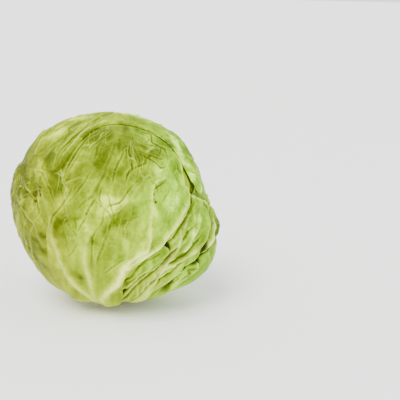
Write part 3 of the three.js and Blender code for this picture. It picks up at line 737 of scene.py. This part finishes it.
def mottled_tones(facts):
    """The greens of a leaf: painted shade makes them darker and warmer on the left, painted light makes them
    lighter and cooler on the right, and the foot is warmer.
    """
    latitude, side = latitude_of(facts["d"]), facts["d"][:, 0]
    green = np.clip(mottling(facts), 0, 1) * (len(GREENS) - 1)
    steps = np.array([toned(c) for c in GREENS])
    first = np.minimum(green.astype(int), len(GREENS) - 2)
    share = (green - first)[:, None]
    tones = steps[first] * (1 - share) + steps[first + 1] * share
    tint = noise(facts["p"], 30, facts["seed"] + 80)
    # Painted shade on the left side and painted light on the right side; the foot is warmer as well
    shade_and_foot = smooth(-side + 0.2 * tint, 0, 0.9) + 0.5 * (1 - smooth(latitude, -60, -10))
    shade_and_foot = np.clip(shade_and_foot, 0, 1) * (1 - smooth(side, 0.1, 0.7))
    lit_side = smooth(side + 0.2 * tint, 0, 0.7)
    return tones * (1 + shade_and_foot[:, None] * (toned(SHADE_AND_FOOT_TINT) - 1)) * (1 + lit_side[:, None] * (toned(LIT_SIDE_TINT) - 1))


def leaf_tones(leaf, facts):
    """The colour of every point of a leaf, with its marks in the order in which they cover each other."""
    d, latitude = facts["d"], latitude_of(facts["d"])
    upper = smooth(latitude, -25, 15)
    bold = upper if leaf.get("calm_foot") else 1
    edge = np.exp(-((facts["inside"] / 1.4) ** 2)) * smooth(facts["u"], 0.2, 0.4)
    marks = [
        (GREENS[4], MIX["net"] * np.exp(-((facts["net"] / 0.9) ** 2)) * upper),
        (RIB, MIX["rib"] * facts["shown"] * (1 - 0.35 * upper)),
        (GREENS[0], MIX["fine"] * (1 - smooth(facts["fine"], 0, 0.8)) * upper),
        # Painted highlight on the banks beside creases
        (GREENS[0], MIX["bank_highlight_amount"] * facts["beside"]),
        # Painted shade in the creases
        (CREASE_SHADE_COLOUR, MIX["crease"] * facts["creased"] * (0.4 + 0.6 * bold)),
        (FOOT, MIX["foot"] * (1 - smooth(latitude, -78, -46))),
        # Painted highlight along the raised edges of a leaf, in the pale rib colour
        (RIB, MIX["edge"] * by_side(leaf, "margin", facts["v"]) * edge),
        # Painted shade in the lee of the raised edges above
        (LEE_SHADE_COLOUR, MIX["lee"] * facts["lee"]),
    ]
    for azimuth, place, size in BROWN_SPOTS if leaf["name"] == "leaf_front" else []:
        away = np.linalg.norm(d - direction(azimuth, place), axis=1) * MEAN_RADIUS
        ragged = away + 0.8 * noise(facts["p"], 1.6, int(size * 10))
        marks.append((BROWN, 1 - smooth(ragged, 0.4 * size, size)))
    tones = mottled_tones(facts)
    for colour, amount in marks:
        tones = blended(tones, colour, amount)
    return tones


def border(grid):
    """The numbers of the points round a grid, in order."""
    return np.concatenate([grid[0, :-1], grid[:-1, -1], grid[-1, :0:-1], grid[:0:-1, 0]])


def squares(grid):
    """The faces between neighbouring points of a grid."""
    return np.stack([grid[:-1, :-1], grid[:-1, 1:], grid[1:, 1:], grid[1:, :-1]], axis=-1).reshape(-1, 4)


def every_second(values, shape):
    """Every second value of a grid in both directions."""
    return values.reshape(*shape, -1)[::2, ::2].reshape(-1, values.shape[-1])


def mesh_of(name, points, faces):
    """A smooth mesh of points in millimetres."""
    mesh = bpy.data.meshes.new(name)
    mesh.from_pydata((points * MM).tolist(), [], faces)
    mesh.polygons.foreach_set("use_smooth", np.ones(len(faces), bool))
    return mesh


def paint(mesh, tones, strokes):
    """Gives the points of a mesh their colours, and how much of the fine strokes shows there."""
    layer = mesh.color_attributes.new(name="leaf_colour", type="FLOAT_COLOR", domain="POINT")
    layer.data.foreach_set("color", np.column_stack([tones ** (1 / TONE), strokes]).ravel())


def leaf_mesh(name, outer, inner, shape, tones, facts):
    """A closed mesh of a blade, half as fine on its inner face, with its colours and stroke pattern. The
    strokes are fainter low down and don't show on the inner face."""
    fine = np.arange(len(outer)).reshape(shape)
    coarse = len(outer) + np.arange(fine[::2, ::2].size).reshape(fine[::2, ::2].shape)
    rim, under = border(fine), border(coarse)
    edge = np.stack([rim[::2], under, np.roll(under, -1), np.roll(rim, -2)[::2], rim[1::2]], axis=-1)
    faces = squares(fine).tolist() + squares(coarse)[:, ::-1].tolist() + edge.tolist()
    points = np.concatenate([outer, every_second(inner, shape)]) + np.array([0, 0, CENTRE_HEIGHT])
    mesh = mesh_of(name, points, faces)

    behind = every_second(tones, shape)
    behind = blended(behind, GREENS[0], np.full(len(behind), MIX["inner_face"]))
    strokes = 0.15 + 0.85 * smooth(latitude_of(facts["d"]), -30, 15)
    paint(mesh, np.concatenate([tones, behind]), np.concatenate([strokes, np.zeros(len(behind))]))
    place = facts["stroke_place"]
    layer = mesh.attributes.new(name="leaf_place", type="FLOAT_VECTOR", domain="POINT")
    layer.data.foreach_set("vector", np.concatenate([place, every_second(place, shape)]).ravel())
    return mesh


def added(name, data):
    """A new object in the scene."""
    thing = bpy.data.objects.new(name, data)
    bpy.context.scene.collection.objects.link(thing)
    return thing


def add_piece(mesh, node, material):
    piece = added(mesh.name, mesh)
    mesh.materials.append(material)
    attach(piece, "root")
    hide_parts(node)


def new_material(name):
    """A new material, with its nodes, its links and its shader."""
    material = bpy.data.materials.new(name)
    material.use_nodes = True
    tree = material.node_tree
    return material, tree.nodes, tree.links, tree.nodes["Principled BSDF"]


def socket(node, name, value):
    node.inputs[name].default_value = value


def mapped(nodes, links, value, low, high, start, stop):
    """A value, with its range from low to high mapped to the one from start to stop."""
    reach = nodes.new("ShaderNodeMapRange")
    ends = {"From Min": low, "From Max": high, "To Min": start, "To Max": stop}
    for name, end in ends.items():
        socket(reach, name, end)
    links.new(value, reach.inputs["Value"])
    return reach.outputs["Result"]


def texture_noise(nodes, links, place, scale, detail):
    """The shader's own noise at a place."""
    pattern = nodes.new("ShaderNodeTexNoise")
    socket(pattern, "Scale", scale)
    socket(pattern, "Detail", detail)
    links.new(place, pattern.inputs["Vector"])
    return pattern.outputs["Fac"]


def calculated(nodes, links, operation, first, second):
    """The result of a calculation with a value and another value or number."""
    step = nodes.new("ShaderNodeMath")
    step.operation = operation
    links.new(first, step.inputs[0])
    if isinstance(second, (int, float)):
        socket(step, 1, second)
    else:
        links.new(second, step.inputs[1])
    return step.outputs["Value"]


def edge_distance(nodes, links, place, scale):
    """How far the borders of random cells are away, in cell sizes."""
    net = nodes.new("ShaderNodeTexVoronoi")
    net.feature = "DISTANCE_TO_EDGE"
    socket(net, "Scale", scale)
    links.new(place, net.inputs["Vector"])
    return net.outputs["Distance"]


def stroke_lines(nodes, links, place, amount, scale, width):
    """Thin broken lines of a net that is stretched along a leaf."""
    line = mapped(nodes, links, edge_distance(nodes, links, place, scale), 0.3 * width, width, 1, 0)
    kept = mapped(nodes, links, texture_noise(nodes, links, place, 0.8 * scale, 1), 0.48, 0.64, 0, 1)
    line = calculated(nodes, links, "MULTIPLY", line, kept)
    return calculated(nodes, links, "MULTIPLY", line, amount)


def coloured_over(nodes, links, below, colour, amount):
    """One colour mixed over what is below. Inputs 6 and 7 are the colours, and output 2 is their mix."""
    mix = nodes.new("ShaderNodeMix")
    mix.data_type = "RGBA"
    links.new(amount, mix.inputs["Factor"])
    links.new(below, mix.inputs[6])
    socket(mix, 7, (*colour, 1))
    return mix.outputs[2]


def in_relief(nodes, links, height, strength, distance, below=None):
    """The normals of a surface with a pattern in relief, on top of what is below."""
    bump = nodes.new("ShaderNodeBump")
    socket(bump, "Strength", strength)
    socket(bump, "Distance", distance)
    links.new(height, bump.inputs["Height"])
    if below is not None:
        links.new(below, bump.inputs["Normal"])
    return bump.outputs["Normal"]


def leaf_material():
    """Waxy leaf skin: the blade's colours with thin strokes, fine speckle and fine veins in relief."""
    material, nodes, links, shader = new_material("waxy_leaf")
    place = nodes.new("ShaderNodeTexCoord").outputs["Object"]
    colour = nodes.new("ShaderNodeAttribute")
    colour.attribute_name = "leaf_colour"
    along = nodes.new("ShaderNodeAttribute")
    along.attribute_name = "leaf_place"

    along, amount = along.outputs["Vector"], colour.outputs["Alpha"]
    dark = stroke_lines(nodes, links, along, amount, 0.75, 0.05)
    pale = stroke_lines(nodes, links, along, amount, 1.0, 0.06)
    stroked = colour.outputs["Color"]
    for mark, line, most in ((GREENS[4], dark, 0.7), (GREENS[0], pale, 0.3)):
        stroked = coloured_over(nodes, links, stroked, mark, calculated(nodes, links, "MULTIPLY", line, most))

    lighter = nodes.new("ShaderNodeHueSaturation")
    links.new(stroked, lighter.inputs["Color"])
    speckle = texture_noise(nodes, links, place, 420, 4)
    links.new(mapped(nodes, links, speckle, 0.3, 0.7, 0.86, 1.12), lighter.inputs["Value"])
    links.new(lighter.outputs["Color"], shader.inputs["Base Color"])
    bloom = texture_noise(nodes, links, place, 60, 3)
    links.new(mapped(nodes, links, bloom, 0.3, 0.7, 0.48, 0.66), shader.inputs["Roughness"])

    fine = in_relief(nodes, links, edge_distance(nodes, links, place, 320), 0.25, 0.0004)
    lines = calculated(nodes, links, "SUBTRACT", pale, dark)
    links.new(in_relief(nodes, links, lines, 0.5, 0.0008, fine), shader.inputs["Normal"])
    socket(shader, "Specular IOR Level", 0.09)
    socket(shader, "Specular Tint", (0.6, 0.75, 0.18, 1))
    socket(shader, "Subsurface Weight", 0.08)
    socket(shader, "Subsurface Radius", (0.004, 0.006, 0.001))
    socket(shader, "Subsurface Scale", 0.6)
    return material


def ringed(bottom, rings, top):
    """The points and faces of a closed form from a middle point at the bottom, through rings of points,
    to one at the top."""
    around = rings.shape[1]
    points = np.concatenate([[bottom], rings.reshape(-1, 3), [top]])
    number = 1 + np.arange(len(points) - 2).reshape(-1, around)
    after = np.roll(number, -1, axis=1)
    walls = np.stack([number[:-1], after[:-1], after[1:], number[1:]], axis=-1).reshape(-1, 4)
    under = np.stack([after[0], number[0], np.zeros(around, int)], axis=-1)
    lid = np.stack([number[-1], after[-1], np.full(around, len(points) - 1)], axis=-1)
    return points, walls.tolist() + under.tolist() + lid.tolist()


def heart_mesh():
    """The heart's folded outside, down to beside the stem, with the pocket for the stem below."""
    around, rings = HEART["around"], HEART["rings"]
    t = np.linspace(0, 1, rings)
    latitude = HEART["lowest"] + (HEART["highest"] - HEART["lowest"]) * t**1.15
    azimuth, latitude = np.meshgrid(np.arange(around) * 360 / around, latitude)
    q = direction(azimuth, latitude).reshape(-1, 3)
    azimuth, latitude = azimuth.ravel(), latitude.ravel()
    d = spread(q)
    bed = outside_radius(d) - AIR - HEART["inset"]
    for leaf in LEAVES:
        place, side, inside, bedded = place_in(leaf, q)
        bed = bed - room_for(leaf, bedded)
        bed = bed - ditch(by_side(leaf, "ditch", side) * smooth(place, 0.1, 0.3), inside)
    turn = (azimuth + FOLDS["lean"] * latitude) / FOLDS["apart"]
    folds = FOLDS["depth"] * (turn - np.floor(turn)) * smooth(latitude, -50, -10)
    radius = bed - folds + 0.4 * rough_noise(d * MEAN_RADIUS, 20, 7)
    shell = (d * radius[:, None]).reshape(rings, around, 3)
    top = radius[-around:].mean() + 0.2
    deep = CENTRE_HEIGHT - STEM_HEIGHT - HEART["pocket"]
    pocket = d[:around] * (deep / -d[:around, 2])[:, None]
    points, faces = ringed([0, 0, -deep], np.concatenate([pocket[None], shell]), [0, 0, top])
    points = points + np.array([0, 0, CENTRE_HEIGHT])
    mesh = mesh_of("heart_leaves", points, faces)
    tones = np.tile(toned(GREENS[1]), (len(points), 1))
    tones = blended(tones, GREENS[2], 0.5 + 0.5 * rough_noise(points, 18, 3))
    paint(mesh, tones, np.zeros(len(points)))
    return mesh


def stem_mesh():
    """The stem's cone, with a slightly uneven rim and a cut face of dished rings."""
    slope = math.tan(math.radians(STEM_ANGLE))
    profile = [(share * CENTRE_HEIGHT * slope, z) for share, z in STEM_FACE]
    profile += [((CENTRE_HEIGHT - z) * slope, z) for z in STEM_LEVELS]
    angle = np.arange(STEM_AROUND) * 2 * math.pi / STEM_AROUND
    rings = []
    for n, (radius, z) in enumerate(profile):
        out = radius * (1 - STEM_UNEVEN * (1 + np.sin(5 * angle + n)) * (n >= ROUND_RINGS))
        rings.append(np.stack([out * np.cos(angle), out * np.sin(angle), np.full(STEM_AROUND, z)], axis=-1))
    points, faces = ringed([0, 0, STEM_FACE[0][1]], np.array(rings), [0, 0, STEM_HEIGHT])
    return mesh_of("cut_stem", points, faces)


def stem_material():
    """Pale cut plant tissue: a greenish rim, rings of fibres and a slightly dry middle."""
    material, nodes, links, shader = new_material("cut_stem")
    place = nodes.new("ShaderNodeTexCoord").outputs["Object"]
    rings = nodes.new("ShaderNodeTexWave")
    rings.wave_type = "RINGS"
    rings.rings_direction = "Z"
    socket(rings, "Scale", 90)
    socket(rings, "Distortion", 3)
    socket(rings, "Detail", 3)
    links.new(place, rings.inputs["Vector"])
    fibres = texture_noise(nodes, links, place, 900, 3)
    mixed = nodes.new("ShaderNodeMix")
    mixed.data_type = "FLOAT"
    socket(mixed, "Factor", 0.55)
    links.new(rings.outputs["Fac"], mixed.inputs["A"])
    links.new(fibres, mixed.inputs["B"])
    tones = nodes.new("ShaderNodeValToRGB")
    ends = ((0.25, (0.30, 0.31, 0.12, 1)), (0.7, (0.62, 0.62, 0.36, 1)))
    for element, (position, colour) in zip(tones.color_ramp.elements, ends):
        element.position = position
        element.color = colour
    links.new(mixed.outputs["Result"], tones.inputs["Fac"])
    links.new(tones.outputs["Color"], shader.inputs["Base Color"])
    links.new(in_relief(nodes, links, mixed.outputs["Result"], 0.4, 0.0004), shader.inputs["Normal"])
    socket(shader, "Roughness", 0.7)
    return material


def floor_material():
    material, nodes, links, shader = new_material("pale_floor")
    socket(shader, "Base Color", (*FLOOR["colour"], 1))
    socket(shader, "Roughness", FLOOR["roughness"])
    return material


def floor():
    half = FLOOR["half"]
    corners = [(-half, -half, 0), (half, -half, 0), (half, half, 0), (-half, half, 0)]
    mesh = bpy.data.meshes.new("floor")
    mesh.from_pydata(corners, [], [(0, 1, 2, 3)])
    mesh.materials.append(floor_material())
    added("floor", mesh)


def light(name, kind, settings, place, towards):
    data = bpy.data.lights.new(name, kind)
    for setting, value in settings.items():
        setattr(data, setting, value)
    lamp = added(name, data)
    lamp.location = place
    lamp.rotation_mode = "QUATERNION"
    lamp.rotation_quaternion = towards.to_track_quat("-Z", "Y")


def world_light():
    world = bpy.data.worlds.new("studio")
    world.use_nodes = True
    background = world.node_tree.nodes["Background"]
    socket(background, "Color", (1, 1, 1, 1))
    socket(background, "Strength", WORLD_LIGHT)
    bpy.context.scene.world = world


def camera(head):
    """The camera that sees the place head where the photo has it."""
    data = bpy.data.cameras.new("camera")
    data.lens = CAMERA["lens"]
    data.sensor_width = CAMERA["sensor"]
    shooter = added("camera", data)
    rise = math.radians(CAMERA["elevation"])
    back = Vector((0, -math.cos(rise), math.sin(rise)))
    place = head + back * CAMERA["distance"]
    pixels = CAMERA["lens"] / CAMERA["sensor"] * FRAME_SIZE
    x = FRAME_SIZE / 2 - HEAD_AT[0]
    y = HEAD_AT[1] - FRAME_SIZE / 2
    yaw = math.atan2(x, pixels)
    pitch = math.atan(y / math.hypot(pixels, x))
    level = back.cross(Vector((0, 0, 1))).normalized() * -1
    up = level.cross(-back)
    forward = math.cos(yaw) * -back + math.sin(yaw) * level
    side = forward.cross(up)
    forward = math.cos(pitch) * forward + math.sin(pitch) * up
    up = side.cross(forward)
    turned = Matrix((side, up, -forward)).transposed().to_4x4()
    shooter.matrix_world = Matrix.Translation(place) @ turned
    bpy.context.scene.camera = shooter


def main():
    skin = leaf_material()
    for leaf in LEAVES:
        set_up(leaf)
    for k, leaf in enumerate(LEAVES):
        outer, inner, shape, facts = laid_out(k)
        mesh = leaf_mesh(leaf["name"] + "_blade", outer, inner, shape, leaf_tones(leaf, facts), facts)
        add_piece(mesh, leaf["name"], skin)
    add_piece(heart_mesh(), "heart", skin)
    add_piece(stem_mesh(), "stem", stem_material())
    floor()
    head = Vector((0, 0, CENTRE_HEIGHT * MM))
    light("key", "SUN", KEY, head, Vector(KEY_TOWARDS))
    light("fill", "AREA", FILL, Vector(FILL_PLACE), head - Vector(FILL_PLACE))
    world_light()
    camera(head)


main()
